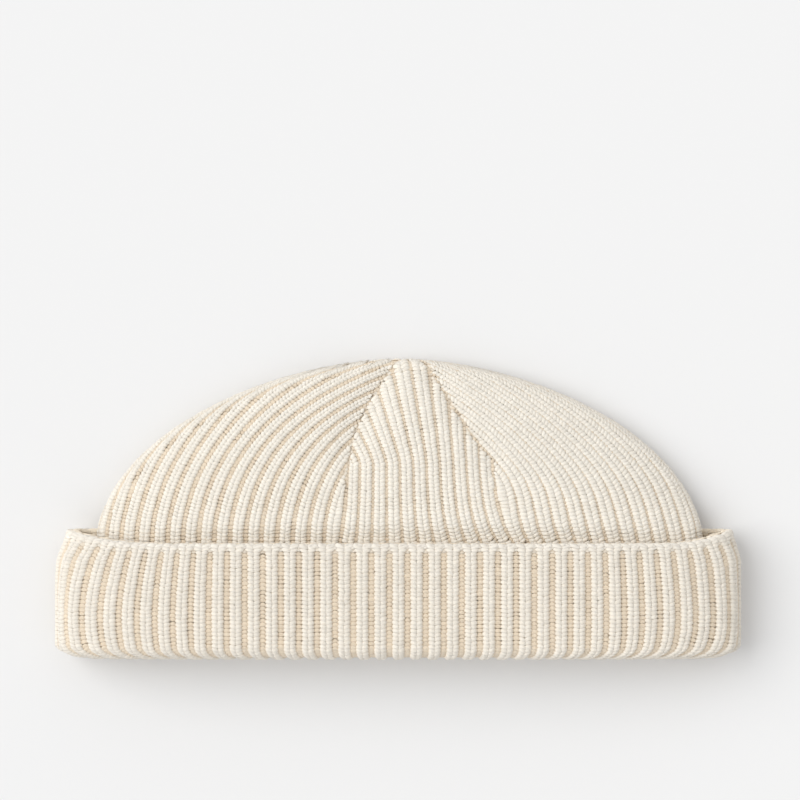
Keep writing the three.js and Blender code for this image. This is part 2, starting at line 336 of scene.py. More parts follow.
LEG_RADIUS = (1.0, 0.54)  # of the yarn, along the rib and through the fabric
LEG_ACROSS = (0.31, 0.41)  # middle and reach, in half ribs
LEG_GROWTH = 0.12  # how much both grow where the furrow is closed
LINING_ACROSS = (0.43, 0.60)  # the same where no purl stitches are made
LEG_UP = 0.68  # how far its ends lie below and above its middle
LEG_BLUNT = 0.2  # how blunt its ends are: 0 would be a cylinder
LEG_TUCK = 0.36  # how deep its inner end is tucked in
LEG_FALL = 0.88  # how much deeper the furrow lies than the rib's crest
FALL_FROM, FALL_TO = (0.34, 0.78)  # where it falls, in half ribs
CUT_FALL = dict(less=0.75, start=0.15, length=0.4)  # a leg cut at its inner end falls less
# paler: how much less painted shade a leg's colour gets where its furrow is closed
LEG_CLOSED = dict(longer=0.15, shallower=0.7, paler=0.3)
LEG_UNEVEN = dict(size=0.04, tilt=0.05, shift=0.04)
LEG_RINGS = 5
FULL_LEG = 2.9  # reach of a leg whose yarn has its full thickness
LEAST_YARN = 0.35  # share of it that the yarn keeps where the ribs are narrowest
PURL_RADIUS = (1.0, 0.42)
PURL_REACH = 0.46  # half of a bump's length, in half ribs
PURL_BLUNT = 0.35
PURL_ARCH = 0.25  # how far its ends lie below its middle
PURL_DEPTH = 0.98  # how deep its top lies under the rib's crest
PURL_CLOSED = dict(shorter=0.4, thinner=0.17, shallower=0.74)
PURL_UNEVEN = dict(size=0.06, shift=0.05)
PURL_SINK = (1.4, 0.6)  # its mark for the colour, which is painted shade: for a tan one and for a pale one
PURL_RINGS = 4
SIDES = (-5, 55, 125, 185, 270)  # degrees round a leg or bump, most of them on the face that shows


def yarn_shape(rings):
    """Where the points of a leg or bump lie along it and round it. Then its faces and the UVs of
    their corners."""
    shape = bmesh.new()
    uv_layer = shape.loops.layers.uv.new("yarn")
    bmesh.ops.create_uvsphere(
        shape, u_segments=len(SIDES), v_segments=rings, radius=1, calc_uvs=True
    )
    shape.verts.index_update()
    sphere = np.array([vert.co for vert in shape.verts])
    faces = [[vert.index for vert in face.verts] for face in shape.faces]
    uvs = [[tuple(loop[uv_layer].uv) for loop in face.loops] for face in shape.faces]
    shape.free()
    along = np.clip(sphere[:, 2], -1, 1)
    turn = np.arctan2(sphere[:, 1], sphere[:, 0]) / (2 * math.pi) * len(SIDES)
    angle = np.radians(np.array(SIDES))[np.rint(turn).astype(int) % len(SIDES)]
    ring = np.abs(along) < 1 - CLOSE
    return along, np.cos(angle) * ring, np.sin(angle) * ring, faces, uvs


LEG_ALONG, LEG_COS, LEG_SIN, LEG_FACES, LEG_UVS = yarn_shape(LEG_RINGS)
PURL_ALONG, PURL_COS, PURL_SIN, PURL_FACES, PURL_UVS = yarn_shape(PURL_RINGS)


def make_mesh(name, points, faces, uvs, marks):
    """A mesh object from points in millimetres, faces of three or four corners, the UVs of the
    corners and the marks of the points."""
    mesh = bpy.data.meshes.new(name)
    counts = np.array([len(face) for face in faces])
    corners = np.concatenate([np.asarray(face) for face in faces])
    firsts = np.concatenate([[0], np.cumsum(counts)[:-1]])
    mesh.vertices.add(len(points))
    mesh.vertices.foreach_set("co", (points * MM).astype(np.float32).ravel())
    mesh.loops.add(len(corners))
    mesh.loops.foreach_set("vertex_index", corners.astype(np.int32))
    mesh.polygons.add(len(counts))
    mesh.polygons.foreach_set("loop_start", firsts.astype(np.int32))
    mesh.polygons.foreach_set("use_smooth", np.ones(len(counts), bool))
    mesh.update(calc_edges=True)
    layer = mesh.uv_layers.new(name="yarn")
    layer.data.foreach_set("uv", uvs.astype(np.float32).ravel())
    for mark, values in marks.items():
        attribute = mesh.attributes.new(mark, "FLOAT", "POINT")
        attribute.data.foreach_set("value", values.astype(np.float32))
    mesh.validate()
    piece = bpy.data.objects.new(name, mesh)
    bpy.context.scene.collection.objects.link(piece)
    return piece


def unit(vectors):
    return vectors / np.maximum(np.linalg.norm(vectors, axis=-1, keepdims=True), TINY)


def squared(upward, outward):
    """Unit vectors up the ribs and out of the fabric, at right angles to each other."""
    upward = unit(upward)
    return upward, unit(outward - np.sum(outward * upward, -1, keepdims=True) * upward)


def slimness(reach):
    """How thick the yarn is for a leg or half a rib of this reach, as a share."""
    return LEAST_YARN + (1 - LEAST_YARN) * np.minimum(reach / FULL_LEG, 1)


def set_out(origins, axes, offsets):
    """The points of each stitch, at their offsets along its three axes."""
    points = origins[:, None]
    for axis, offset in zip(axes, offsets):
        points = points + offset[..., None] * axis[:, None]
    return points.reshape(-1, 3)


def repeated(firsts, faces, uvs, turn=1):
    """The faces of one stitch and the UVs of their corners, once for each first point."""
    corners = []
    corner_uvs = []
    for face, uv in zip(faces, uvs):
        corners.extend(firsts[:, None] + np.array(face[::turn]))
        corner_uvs.append(np.tile(np.array(uv[::turn]), (len(firsts), 1)))
    return corners, corner_uvs


def stitches(name, legs, painted_edge_light=0, leg_across=LEG_ACROSS):
    """The stitches of one piece. legs holds, for each run of legs, their inner and outer ends,
    the shares of a whole leg at which these are cut off, the way up the rib, the way out of the
    fabric, how deep the two ends are drawn in, and how far the furrow is closed."""
    inner, outer, near, far, upward, outward, drawn_in, drawn_out, closed = (
        np.concatenate(part) for part in zip(*legs)
    )
    upward, outward = squared(upward, outward)
    near, far, closed = (share[:, None] for share in (near, far, closed))
    whole = np.linalg.norm(outer - inner, axis=-1, keepdims=True) / (far - near)
    across = unit(outer - inner)
    number = len(inner)
    size = 1 + LEG_UNEVEN["size"] * rng.standard_normal((number, 1))
    tilt = LEG_UNEVEN["tilt"] * rng.standard_normal((number, 1))
    shift = LEG_UNEVEN["shift"] * rng.standard_normal((number, 3, 1))
    slim = slimness(whole)
    middle, half = (share + LEG_GROWTH * closed for share in leg_across)
    cut_near = near > 0
    cut_far = far < 1
    begin = np.where(cut_near, np.maximum((near - middle) / half, -1), -1)
    end = np.where(cut_far, np.minimum((far - middle) / half, 1), 1)
    t = lerp(begin, end, (LEG_ALONG + 1) / 2)
    thick = np.maximum(1 - t**2, 0) ** LEG_BLUNT
    slant = np.arctan2(LEG_UP, half * FULL_LEG)
    aside = LEG_COS * thick * LEG_RADIUS[0]
    part = middle + half * t - aside * np.sin(slant) / FULL_LEG
    part = np.clip(part, np.where(cut_near, near, -1), np.where(cut_far, far, 2))
    deep = LEG_RADIUS[1] * (1 - LEG_SIN * thick) + LEG_TUCK * np.clip(-t, 0, 1) ** 2
    falls_from = FALL_FROM + 2 * LEG_GROWTH * closed
    fall = LEG_FALL * smooth((part - falls_from) / (FALL_TO - FALL_FROM))
    fall = fall * (1 - CUT_FALL["less"] * ramp(near, CUT_FALL["start"], CUT_FALL["length"]))
    drawn = lerp(drawn_in[:, None], drawn_out[:, None], np.clip((part - near) / (far - near), 0, 1))
    sunk = fall * (1 - LEG_CLOSED["shallower"] * closed**2) + drawn
    a = (part - near) * whole * (1 + LEG_CLOSED["longer"] * closed) + shift[:, 0] * (1 - cut_near)
    s = (LEG_UP * t + aside * np.cos(slant)) * size + tilt * (part - 0.5) * whole + shift[:, 1]
    h = -deep * slim * size - sunk * slim + shift[:, 2]
    points = set_out(inner, (across, upward, outward), (a, s, h))
    right_handed = np.sum(np.cross(across, upward) * outward, -1) > 0
    each = len(LEG_ALONG)
    corners = []
    uvs = []
    for keep, turn in ((right_handed, 1), (~right_handed, -1)):
        turned = repeated(each * np.nonzero(keep)[0], LEG_FACES, LEG_UVS, turn)
        corners.extend(turned[0])
        uvs.extend(turned[1])
    # tone varies at random from stitch to stitch; painted_edge_light adds painted light to the legs
    # where the furrows close at the cuff's free edge
    tone = rng.standard_normal((number, 1)) + painted_edge_light * closed
    tone = np.repeat(tone, each, axis=1).ravel()
    # sink marks the painted shade: the deeper a point lies, and the more open its furrow or the
    # nearer a dart, the more it is painted tan
    sink = (deep + fall * (1 - LEG_CLOSED["paler"] * closed) + drawn).ravel()
    return make_mesh(name, points, corners, np.concatenate(uvs), dict(tone=tone, sink=sink))


def purl_stitches(name, runs):
    """The purl stitches of one piece. runs holds, for each furrow, their middles, the width of
    half a rib there, the way up and the way out, how far the furrow is closed, and how pale."""
    middle, half, upward, outward, closed, pale = (np.concatenate(part) for part in zip(*runs))
    upward, outward = squared(upward, outward)
    half, closed, pale = (share[:, None] for share in (half, closed, pale))
    number = len(middle)
    size = 1 + PURL_UNEVEN["size"] * rng.standard_normal((number, 1))
    shift = PURL_UNEVEN["shift"] * rng.standard_normal((number, 3, 1))
    thick = np.maximum(1 - PURL_ALONG**2, 0) ** PURL_BLUNT
    reach = PURL_REACH * half * (1 - PURL_CLOSED["shorter"] * closed)
    fat = PURL_RADIUS[0] * size * (1 - PURL_CLOSED["thinner"] * closed**2)
    sunk = PURL_DEPTH * (1 - PURL_CLOSED["shallower"] * closed**2)
    a = reach * PURL_ALONG * size + shift[:, 0]
    s = PURL_COS * thick * fat - PURL_ARCH * PURL_ALONG**2 + shift[:, 1]
    h = -slimness(half) * (sunk + PURL_RADIUS[1] * (1 - PURL_SIN * thick)) + shift[:, 2]
    points = set_out(middle, (np.cross(upward, outward), upward, outward), (a, s, h))
    each = len(PURL_ALONG)
    corners, uvs = repeated(each * np.arange(number), PURL_FACES, PURL_UVS)
    tone = np.repeat(rng.standard_normal((number, 1)), each, axis=1).ravel()
    # sink marks the painted shade of each purl stitch
    sink = np.repeat(lerp(*PURL_SINK, pale), each, axis=1).ravel()
    return make_mesh(name, points, corners, np.concatenate(uvs), dict(tone=tone, sink=sink))


# Where the rows of stitches lie

STEP = 0.05  # up or along, for finding directions
SIDE_STEP = 1e-4  # across, in shares of the cuff's half width
CROWN_SAMPLES = 500
CUFF_SAMPLES = 400
FIRST_ROW = (0.2, 0.6)  # how far along a rib the first row lies, in rows, and the chance in that
FIRST_CUFF_ROW = (0.2, 0.2)


def row_places(points, values, first_row=FIRST_ROW):
    """The values at which the rows lie on a line. It is given by points with a value each."""
    moved = np.linalg.norm(np.diff(points, axis=0), axis=-1)
    length = np.concatenate([[0], np.cumsum(moved)])
    least, chance = first_row
    steps = np.arange(ROW * (least + chance * rng.random()), length[-1], ROW)
    return np.interp(steps, length, values)


# The stitches of the crown

LEAST_LEG = 0.45  # a leg that a dart or fold cuts shorter than this is left out
LONGEST_LEG = 1.12  # how much longer a leg is where its rib falls short of a dart
CREASE_DEPTH = 0.9  # how deep the legs beside a dart are drawn in
CREASE_WIDTH = 1.2
CREASE_START = 0.3  # share of the crown's height over which that begins
TOP_MARGIN = 0.005  # the outer end of a leg stays so far below the top
FOOT_DROP = dict(depth=5.0, start=0.8, length=0.2)  # near the folds the ribs start lower down
LEVEL = dict(least=0.3, start=0.15, length=0.45)  # the stitches near the foot lie more level
ON_DART = 0.2  # a furrow that starts so near a dart, in half ribs, runs along it
PURL_PAST = 0.5  # how far past a dart a purl stitch may lie, under the other ribs
PURL_TOP = 0.97  # along a dart they end at this share of the crown's height
CREASE_SUNK = dict(depth=0.35, length=0.05)  # how much deeper they lie along it
PALE_CLOSED = 0.04  # how much less painted shade they get in a closed furrow
ASIDE = 0.25  # how far aside the width of a rib is measured, in half ribs

# How far the furrows are closed: they narrow from left to right, and the knit is gathered above
# the left dart's foot and in the upper part of the right gore
CLOSED = dict(left=0.1, middle=0.42, above_left_dart=0.5, right=0.95)
CLOSED_MIDDLE = dict(start=-0.4, length=0.3)
CLOSED_LEFT_DART = dict(across=-0.12, width=0.16, start=0.45, length=0.3)
CLOSED_RIGHT = dict(across=0.25, width=0.15, start=-0.05, length=0.6)


def crown_closed(u, v):
    """How far the furrows are closed at places across the crown and shares of its height."""
    middle, dart, right = CLOSED_MIDDLE, CLOSED_LEFT_DART, CLOSED_RIGHT
    closed = lerp(CLOSED["left"], CLOSED["middle"], ramp(u, middle["start"], middle["length"]))
    near_dart = np.exp(-(((u - dart["across"]) / dart["width"]) ** 2))
    near_dart = near_dart * ramp(v, dart["start"], dart["length"])
    closed = lerp(closed, 1, CLOSED["above_left_dart"] * near_dart)
    on_right = ramp(u, right["across"], right["width"]) * ramp(v, right["start"], right["length"])
    return lerp(closed, CLOSED["right"], on_right)


def crown_heights(u, start, stop):
    """Heights along a rib or furrow of the crown, closest together at the top."""
    drop = FOOT_DROP["depth"] * ramp(abs(u), FOOT_DROP["start"], FOOT_DROP["length"])
    low = start - drop
    return low + (stop - low) * np.sin(np.linspace(0, math.pi / 2, CROWN_SAMPLES))


def on_darts(u, starts):
    """For each dart, whether a furrow runs along it."""
    return [abs(u - start) < ON_DART / RIBS_ACROSS for start in starts]


def make_level(upward, outward, v):
    """Turn the stitches near the crown's foot level."""
    slope = lerp(LEVEL["least"], 1, ramp(v, LEVEL["start"], LEVEL["length"]))
    upward[:, 2] *= slope
    outward[:, 1] *= slope


def gore_cuts(ends, out, side, gore):
    """The shares of whole legs at which a dart or fold cuts off their inner and outer ends."""
    near = np.zeros(ends.shape[-1])
    far = np.ones(ends.shape[-1])
    gaps = []
    for along, up in ends:
        low_limit, high_limit = gore_limits(crown_row(out, up, side), gore)
        gaps.append((along - low_limit, high_limit - along))
    for first, last in zip(*gaps):
        change = np.where(np.abs(last - first) < CLOSE, CLOSE, last - first)
        crossing = np.clip(-first / change, 0, 1)
        near = np.where(first < 0, np.maximum(near, np.where(last > 0, crossing, 1)), near)
        far = np.where(last < 0, np.minimum(far, np.where(first > 0, crossing, 0)), far)
    return near, far


def drawn_at(along, row, gore):
    """How deep the ends of cut legs are drawn in beside the darts."""
    below, above = gore_limits(row, gore)
    on_low = np.exp(-(((along - below) / CREASE_WIDTH) ** 2)) * (gore > 0)
    on_high = np.exp(-(((above - along) / CREASE_WIDTH) ** 2)) * (gore < len(DARTS))
    return CREASE_DEPTH * smooth(row.v / CREASE_START) * np.maximum(on_low, on_high)


def crown_legs(side, out, start, stop, rib_shift, facing):
    """The legs on one side of a layer of the crown, rib by rib. facing is 1 for the outside and
    -1 for the lining. They are laid out flat first, where a dart or fold cuts them off."""
    legs = []
    highest = CUFF_HEIGHT + CROWN_HEIGHT - WALL + out - TOP_MARGIN
    for rib in range(-1, RIBS_ACROSS + 1):
        u = (2 * rib + 1 + rib_shift + 2 * side * CROWN_PHASE) / RIBS_ACROSS - 1
        if abs(u) >= 1:
            continue
        fine = crown_heights(u, start, stop)
        fine_row = crown_row(out, fine, side)
        along = np.clip(along_row(u, fine_row), -fine_row.arc, fine_row.arc)
        up = row_places(crown_point(along, fine_row), fine)
        row = crown_row(out, up, side)
        gore = sum(u > dart_start for dart_start in row.starts)
        middle = along_row(u, row)
        lean = (along_row(u, crown_row(out, up + STEP, side)) - middle) / STEP
        stretch = np.hypot(1, lean)
        for hand in (-1, 1):
            furrow = u + hand / RIBS_ACROSS
            edge = along_row(furrow, row)
            furthest = middle + hand * LONGEST_LEG * row.foot_arc / RIBS_ACROSS
            for on_dart, crease in zip(on_darts(furrow, row.starts), row.creases):
                if on_dart:
                    pinned = np.minimum(crease * hand, furthest * hand) * hand
                    edge = np.where((crease - edge) * hand > 0, pinned, edge)
            width = (edge - middle) / stretch
            end_up = np.minimum(up - width * lean / stretch, highest)
            ends = np.array([[middle, up], [middle + width / stretch, end_up]])
            near, far = gore_cuts(ends, out, side, gore)
            kept = (np.minimum(far, sum(LEG_ACROSS)) - near) * np.abs(width) > LEAST_LEG
            if not kept.any():
                continue
            near, far = near[kept], far[kept]
            first, last = (lerp(*ends[:, :, kept], share) for share in (near, far))
            centre = (first + last) / 2
            row_first, row_last, row_centre = (
                crown_row(out, end[1], side) for end in (first, last, centre)
            )
            before, after = (
                crown_point(
                    centre[0] + sign * STEP * lean[kept],
                    crown_row(out, centre[1] + sign * STEP, side),
                )
                for sign in (-1, 1)
            )
            upward = after - before
            sideways = [crown_point(centre[0] + sign * STEP, row_centre) for sign in (-1, 1)]
            outward = unit(np.cross(sideways[1] - sideways[0], upward)) * (side * facing)
            make_level(upward, outward, row_centre.v)
            cut = (near > 0) | (far < 1)
            legs.append((
                crown_point(first[0], row_first),
                crown_point(last[0], row_last),
                near,
                far,
                upward,
                outward,
                cut * drawn_at(first[0], row_first, gore),
                cut * drawn_at(last[0], row_last, gore),
                crown_closed(u, row.v[kept]),
            ))
    return legs


def crown_purls(side, start, stop):
    """The purl stitches on one side of the crown's outside, furrow by furrow."""
    runs = []
    starts = crown_row(WALL, start, side).starts
    for furrow in range(RIBS_ACROSS + 2):
        u = 2 * (furrow + side * CROWN_PHASE) / RIBS_ACROSS - 1
        if abs(u) >= 1:
            continue
        along_darts = on_darts(u, starts)
        dart = along_darts.index(True) if any(along_darts) else None

        def path(up, u=u, dart=dart):
            row = crown_row(WALL, up, side)
            along = along_row(u, row) if dart is None else row.creases[dart]
            return np.clip(along, -row.arc, row.arc), row

        fine = crown_heights(u, start, stop)
        up = row_places(crown_point(*path(fine)), fine)
        row = path(up)[1]
        if dart is None:
            sunk = 0 * up
            free = along_row(u, row)
            low_limit, high_limit = gore_limits(row, sum(u > dart_start for dart_start in starts))
            kept = (free > low_limit - PURL_PAST) & (free < high_limit + PURL_PAST)
            aside = ASIDE / RIBS_ACROSS
            half = (along_row(u + aside, row) - along_row(u - aside, row)) / (2 * ASIDE)
        else:
            past_foot = row.v - DARTS[dart]["foot"]
            sunk = CREASE_SUNK["depth"] * smooth(past_foot / CREASE_SUNK["length"])
            kept = row.v < PURL_TOP
            half = np.full(len(up), row.foot_arc / RIBS_ACROSS)
        up = up[kept]
        along, row = path(up)
        lean = (path(up + STEP)[0] - path(up - STEP)[0]) / (2 * STEP)
        upward = crown_point(*path(up + STEP)) - crown_point(*path(up - STEP))
        sideways = crown_point(along + STEP, row) - crown_point(along - STEP, row)
        outward = unit(np.cross(sideways, upward)) * side
        make_level(upward, outward, row.v)
        half = half[kept] / np.hypot(1, lean)
        closed = crown_closed(u, row.v)
        middle = crown_point(along, row) - sunk[kept, None] * outward
        runs.append((middle, half, upward, outward, closed, PALE_CLOSED * closed))
    return runs


# The stitches of the cuff

CUFF_FOOT = -HEM_RADIUS * math.pi / 2 - LEG_LENGTH + 1  # q where its inner leg's stitches end
SLIT = WALL + LAY_GAP  # where the face of the cuff's outer wall lies on the crown
EDGE_CLOSE = 3.2  # how far down from the free edge the furrows are closed


def edge_closed(q):
    return ramp(q, CUFF_FACE - EDGE_CLOSE, EDGE_CLOSE)


def cuff_legs(side, start, stop, inside=False):
    """The legs on one side of the cuff, along its face from q start to q stop, or on the face
    of its outer wall that lies on the crown."""
    legs = []
    for rib in range(-1, RIBS_ACROSS + 1):
        u = (2 * rib + 1 + inside + 2 * side * CUFF_PHASE) / RIBS_ACROSS - 1
        if abs(u) >= 1:
            continue

        def placed(du, q, u=u):
            out, up = cuff_path(q)
            return cuff_point(u + du, DOUBLED + SLIT - out if inside else out, up, side)

        fine = np.linspace(stop, start, CUFF_SAMPLES)
        q = row_places(placed(0, fine), fine, FIRST_CUFF_ROW)
        upward = placed(0, q + STEP) - placed(0, q - STEP)
        outward = np.cross(placed(SIDE_STEP, q) - placed(-SIDE_STEP, q), upward)
        outward = outward * (-side if inside else side)
        none = np.zeros(len(q))
        for hand in (-1, 1):
            ends = (placed(0, q), placed(hand / RIBS_ACROSS, q))
            legs.append((*ends, none, none + 1, upward, outward, none, none, edge_closed(q)))
    return legs


def cuff_purls(side, start, stop):
    """The purl stitches on one side of the cuff, furrow by furrow."""
    runs = []
    for furrow in range(RIBS_ACROSS + 2):
        u = 2 * (furrow + side * CUFF_PHASE) / RIBS_ACROSS - 1
        if abs(u) >= 1:
            continue

        def placed(du, q, u=u):
            return cuff_point(u + du, *cuff_path(q), side)

        fine = np.linspace(start, stop, CUFF_SAMPLES)
        q = row_places(placed(0, fine), fine)
        half = np.linalg.norm(placed(1 / RIBS_ACROSS, q) - placed(-1 / RIBS_ACROSS, q), axis=-1) / 2
        upward = placed(0, q + STEP) - placed(0, q - STEP)
        outward = np.cross(placed(SIDE_STEP, q) - placed(-SIDE_STEP, q), upward) * side
        runs.append((placed(0, q), half, upward, outward, edge_closed(q), edge_closed(q)))
    return runs


# The ground fabric behind the stitches

OUTER_SINK = 1.8  # it lies this deep behind the crests of the stitches outside
LINING_SINK = 1.2  # and inside
GROUND_RISE = 0.7  # how much nearer it comes to the stitches at the crown's fold
GROUND_RISE_BEND = 8
CROWN_COLUMNS = 130  # columns of faces on each side
CUFF_COLUMNS = 180
CROWN_ROWS = dict(inside_cuff=7, above=46)
CROWN_ROW_BEND = 0.9
CUFF_ROWS = dict(outside=44, slit=8)
CUFF_RIM = 1.3  # how far below the free edge the cuff's ground ends
RIM_CHAMFER = 0.4
RIM_STEP = 0.7
SLIT_SINK = 0.7  # how deep it lies behind the slit's face
LEG_FACE_SINK = 0.3  # and behind the inner leg's hidden face
PROFILE_START = 0.4  # how much further up than the stitches of the inner leg it starts
GROUND_GAPS = dict(crown=0.3, cuff=0.5)  # from the line where the crown rests on the inner leg
MERGED = 0.01  # points nearer than this are one
SLIVER = 0.005  # faces thinner than this are dissolved


def ring_grid(name, columns, rows, place):
    """A skin made from a grid that is rolled into rings: place gives the points of each ring."""
    shape = bmesh.new()
    bmesh.ops.create_grid(shape, x_segments=columns, y_segments=rows - 1, size=1)
    mesh = bpy.data.meshes.new(name)
    shape.to_mesh(mesh)
    shape.free()
    flat = np.zeros(len(mesh.vertices) * 3, np.float32)
    mesh.vertices.foreach_get("co", flat)
    flat = flat.reshape(-1, 3)
    i = np.rint((flat[:, 0] + 1) / 2 * columns).astype(int)
    j = np.rint((flat[:, 1] + 1) / 2 * (rows - 1)).astype(int)
    points = place()
    mesh.vertices.foreach_set("co", (points[j, i % columns] * MM).astype(np.float32).ravel())
    shape = bmesh.new()
    shape.from_mesh(mesh)
    bmesh.ops.remove_doubles(shape, verts=shape.verts, dist=MERGED * MM)
    bmesh.ops.dissolve_degenerate(shape, edges=shape.edges, dist=SLIVER * MM)
    bmesh.ops.recalc_face_normals(shape, faces=shape.faces)
    for face in shape.faces:
        face.smooth = True
    shape.to_mesh(mesh)
    shape.free()
    piece = bpy.data.objects.new(name, mesh)
    bpy.context.scene.collection.objects.link(piece)
    return piece


def crown_ground():
    """Both faces of the crown's ground fabric, joined at its foot and its fold."""
    share = np.linspace(-1, 1, CROWN_COLUMNS + 1)
    foot = INNER_LEG + GROUND_GAPS["crown"]
    body = np.linspace(foot, CUFF_HEIGHT, CROWN_ROWS["inside_cuff"], endpoint=False)
    quarter = np.linspace(0, math.pi / 2, CROWN_ROWS["above"])
    rounded = np.sin(quarter) ** CROWN_ROW_BEND
    risen = np.concatenate([np.zeros(len(body)), rounded])
    inner_out = np.full(len(risen), LINING_SINK)
    outer_out = WALL - OUTER_SINK + GROUND_RISE * risen**GROUND_RISE_BEND

    def layer(out):
        top = CROWN_HEIGHT - WALL + out[len(body):]
        return np.concatenate([body, CUFF_HEIGHT + top * rounded])

    def place():
        rings = []
        for outs, order in ((inner_out, -1), (outer_out, 1)):
            for out, up in zip(outs[::order], layer(outs)[::order]):
                front = crown_row(out, np.full(len(share), up), 1)
                back = crown_row(out, np.full(len(share), up), -1)
                over = crown_point(share * front.arc, front)
                under = crown_point(share[::-1] * back.arc, back)
                rings.append(np.concatenate([over[:-1], under[:-1]]))
        return np.array(rings)

    return ring_grid("crown_ground", 2 * CROWN_COLUMNS, 2 * len(risen), place)


def cuff_ground():
    """The cuff's ground fabric. Its profile runs down the inner leg, round the hem, up the
    outside, down the slit and up the inner leg's hidden face."""
    share = np.linspace(-1, 1, CUFF_COLUMNS + 1)
    profile = []
    for q in np.linspace(CUFF_FOOT - PROFILE_START, CUFF_FACE, CUFF_ROWS["outside"]):
        out, up = cuff_path(q)
        turn = np.clip(q / HEM_RADIUS, -math.pi / 2, math.pi / 2)
        profile.append((out - OUTER_SINK * np.sin(turn), up + OUTER_SINK * np.cos(turn)))
    rim = CUFF_HEIGHT - CUFF_RIM
    slit = SLIT + SLIT_SINK
    profile.append((DOUBLED - OUTER_SINK - RIM_CHAMFER, rim))
    profile.append((slit + RIM_CHAMFER, rim))
    for up in np.linspace(rim - RIM_STEP, HEM_RADIUS, CUFF_ROWS["slit"]):
        profile.append((slit, up))
    profile.append((WALL - LEG_FACE_SINK, HEM_RADIUS))
    profile.append((WALL - LEG_FACE_SINK, INNER_LEG - GROUND_GAPS["cuff"]))

    def place():
        rings = []
        for out, up in [*profile, profile[0]]:
            over = cuff_point(share, out, up, 1)
            under = cuff_point(share[::-1], out, up, -1)
            rings.append(np.concatenate([over[:-1], under[:-1]]))
        return np.array(rings)

    return ring_grid("cuff_ground", 2 * CUFF_COLUMNS, len(profile) + 1, place)


# Materials

MOTTLE = 0.10  # how far the wool's brightness varies from place to place
MOTTLE_LEAST = 0.95
TONE_VARIES = 0.022  # and from stitch to stitch
PLY_SHARE = 0.45  # height of the plies against that of the fibres
KNIT_SHADER = {
    "Roughness": 0.92,
    "Subsurface Weight": 0.25,
    "Subsurface Radius": (1.0, 0.93, 0.86),
    "Subsurface Scale": 0.001,
    "Sheen Weight": 0.12,
    "Sheen Roughness": 0.5,
    "Sheen Tint": (1.0, 0.95, 0.87, 1),
    "Specular IOR Level": 0.25,
}
GROUND_SHADER = {"Roughness": 0.95, "Specular IOR Level": 0.2}


def node(tree, kind, place, **values):
    """A new node with values for its inputs or its settings."""
    made = tree.nodes.new(kind)
    made.location = place
    for key, value in values.items():
        if key in made.inputs:
            made.inputs[key].default_value = value
        else:
            setattr(made, key, value)
    return made


def wool_colour_group():
    """Cream on the crests and painted tan with depth: painted shade of the furrows, where the light
    has gone through much wool. Never quite even.
    """
    group = bpy.data.node_groups.new("wool_colour", "ShaderNodeTree")
    face = group.interface
    for name, kind in (("Crest", "NodeSocketColor"), ("Furrow", "NodeSocketColor")):
        face.new_socket(name, in_out="INPUT", socket_type=kind)
    for name in ("Depth", "Tone"):
        face.new_socket(name, in_out="INPUT", socket_type="NodeSocketFloat")
    face.new_socket("Place", in_out="INPUT", socket_type="NodeSocketVector")
    face.new_socket("Color", in_out="OUTPUT", socket_type="NodeSocketColor")
    start = node(group, "NodeGroupInput", (-800, 0))
    end = node(group, "NodeGroupOutput", (600, 0))
    mottle = node(group, "ShaderNodeTexNoise", (-600, -300), Scale=90.0, Detail=3.0)
    dim = node(group, "ShaderNodeMath", (-400, -300), operation="MULTIPLY_ADD")
    dim.inputs[1].default_value = MOTTLE
    dim.inputs[2].default_value = MOTTLE_LEAST
    vary = node(group, "ShaderNodeMath", (-200, -200), operation="MULTIPLY_ADD")
    vary.inputs[1].default_value = TONE_VARIES
    mix = node(group, "ShaderNodeMix", (0, 100), data_type="RGBA")
    shade = node(group, "ShaderNodeVectorMath", (300, 0), operation="SCALE")
    links = group.links
    links.new(start.outputs["Place"], mottle.inputs["Vector"])
    links.new(mottle.outputs["Fac"], dim.inputs[0])
    links.new(start.outputs["Tone"], vary.inputs[0])
    links.new(dim.outputs[0], vary.inputs[2])
    links.new(start.outputs["Depth"], mix.inputs["Factor"])
    links.new(start.outputs["Crest"], mix.inputs["A"])
    links.new(start.outputs["Furrow"], mix.inputs["B"])
    links.new(mix.outputs["Result"], shade.inputs[0])
    links.new(vary.outputs[0], shade.inputs["Scale"])
    links.new(shade.outputs[0], end.inputs["Color"])
    return group


def yarn_relief_group():
    """The twist of the plies along the yarn, with fine fibres over it."""
    group = bpy.data.node_groups.new("yarn_relief", "ShaderNodeTree")
    face = group.interface
    face.new_socket("Along", in_out="INPUT", socket_type="NodeSocketVector")
    face.new_socket("Vector", in_out="INPUT", socket_type="NodeSocketVector")
    face.new_socket("Height", in_out="OUTPUT", socket_type="NodeSocketFloat")
    start = node(group, "NodeGroupInput", (-900, 0))
    end = node(group, "NodeGroupOutput", (600, 0))
    twist = node(group, "ShaderNodeMapping", (-700, 150), Rotation=(0, 0, math.radians(38)))
    ply = node(group, "ShaderNodeTexWave", (-450, 150), Scale=1.6, Distortion=1.0)
    ply.inputs["Detail Scale"].default_value = 3.0
    fibre = node(group, "ShaderNodeTexNoise", (-450, -150), Scale=5200.0, Detail=4.0)
    fibre.inputs["Roughness"].default_value = 0.7
    add = node(group, "ShaderNodeMath", (200, 0), operation="MULTIPLY_ADD")
    add.inputs[1].default_value = PLY_SHARE
    links = group.links
    links.new(start.outputs["Along"], twist.inputs["Vector"])
    links.new(twist.outputs[0], ply.inputs["Vector"])
    links.new(start.outputs["Vector"], fibre.inputs["Vector"])
    links.new(ply.outputs["Fac"], add.inputs[0])
    links.new(fibre.outputs["Fac"], add.inputs[2])
    links.new(add.outputs[0], end.inputs["Height"])
    return group


WOOL_COLOUR = wool_colour_group()
YARN_RELIEF = yarn_relief_group()

